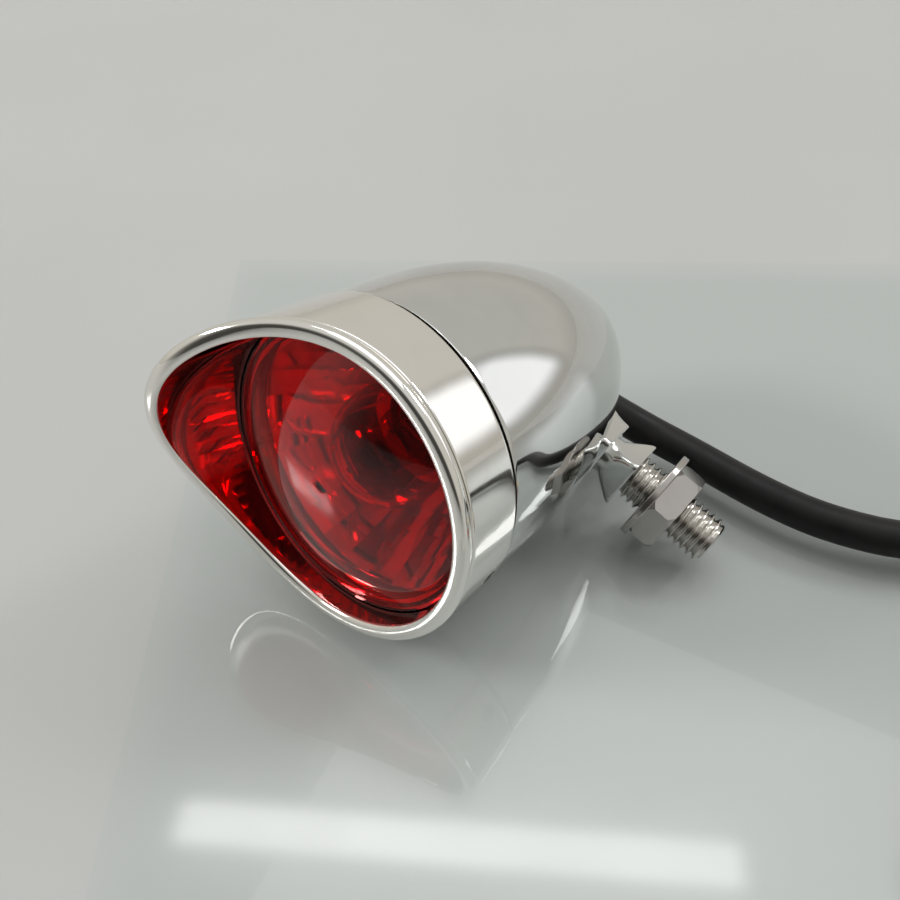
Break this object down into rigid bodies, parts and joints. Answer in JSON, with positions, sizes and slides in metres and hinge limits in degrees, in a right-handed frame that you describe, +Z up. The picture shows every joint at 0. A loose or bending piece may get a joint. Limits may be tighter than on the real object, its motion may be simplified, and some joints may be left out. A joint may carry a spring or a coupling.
{
  "type": "tail light",
  "caption": "Chromed bullet tail light with a visored bezel, domed red lens, threaded mounting stud with washer and nut, and a sleeved lead.",
  "frame": {"origin": "middle of the lamp's own box on the surface it lies on, its lead left out", "axes": "+Z up from that surface, with the lamp lying on its side; -Y is the way the lens faces, seen from above, and the mounting stud points to +X and down"},
  "size_m": [0.1771, 0.1072, 0.0536],
  "materials": {
    "chrome": "polished",
    "bezel_chrome": "polished",
    "red_lens": "clear deep red, glossy",
    "black_rubber": "satin",
    "reflector": "vacuum metallised",
    "zinc_steel": "satin zinc plate",
    "brass": "satin",
    "clear_glass": "clear",
    "black_insulator": "matte",
    "board": "laminated paper board",
    "solder": "dull",
    "tungsten": "matte",
    "sleeve": "soft satin PVC",
    "wire": "satin PVC",
    "clear_sleeve": "clear PVC"
  },
  "bodies": {
    "lamp": {"housing": "chrome", "lens_gasket": "black_rubber", "reflector": "reflector", "socket_shell": "zinc_steel", "socket_rivets": "brass", "contact_spring": "zinc_steel", "mount_stud": "chrome", "inner_washer": "zinc_steel", "inner_nut": "zinc_steel", "cable_grommet": "black_rubber", "inner_leads": "wire", "cable": "sleeve", "tail_wires": "wire", "connector_sleeves": "clear_sleeve", "bullet_connectors": "brass"},
    "bezel": {"bezel": "bezel_chrome", "lens": "red_lens"},
    "grub_screw": {"bezel_grub_screw": "zinc_steel"},
    "bulb": {"bulb_base": "brass", "bulb_insulator": "black_insulator", "bulb_contacts": "solder", "bulb_glass": "clear_glass", "bulb_stem": "clear_glass", "filament_posts": "tungsten", "filament_stop": "tungsten", "filament_tail": "tungsten"},
    "contact_carrier": {"contact_plate": "board", "plate_contacts": "brass"},
    "washer": {"mount_washer": "zinc_steel"},
    "nut": {"mount_nut": "zinc_steel"}
  },
  "joints": [
    {"name": "bezel_pull", "type": "slide", "parent": "lamp", "child": "bezel", "axis": [0, -0.9823, 0.1874], "range_m": [0, 0.03]},
    {"name": "grub_screw_turn", "type": "hinge", "parent": "bezel", "child": "grub_screw", "pos_m": [0.01497, -0.0209, 0.01777], "axis": [0.9309, -0.0684, -0.3587], "range_deg": [0, 720]},
    {"name": "bulb_push", "type": "slide", "parent": "lamp", "child": "bulb", "axis": [0, 0.9823, -0.1874], "range_m": [0, 0.002], "stiffness_N_per_m": 1500, "springref_m": -0.002},
    {"name": "contact_plate_push", "type": "slide", "parent": "lamp", "child": "contact_carrier", "axis": [0, 0.9823, -0.1874], "range_m": [0, 0.002], "deforming": ["contact_spring"]},
    {"name": "washer_slide", "type": "slide", "parent": "lamp", "child": "washer", "axis": [0.9252, 0.0406, -0.3773], "range_m": [-0.0041, 0.0065]},
    {"name": "nut_turn", "type": "hinge", "parent": "washer", "child": "nut", "pos_m": [0.02353, 0.01569, 0.00737], "axis": [0.9252, 0.0406, -0.3773], "range_deg": [-1200, 1900]}
  ],
  "couplings": [
    {"joint": "nut_turn", "follows": "washer_slide", "rad_per_m": 5026.5},
    {"joint": "contact_plate_push", "follows": "bulb_push", "ratio": 1}
  ]
}
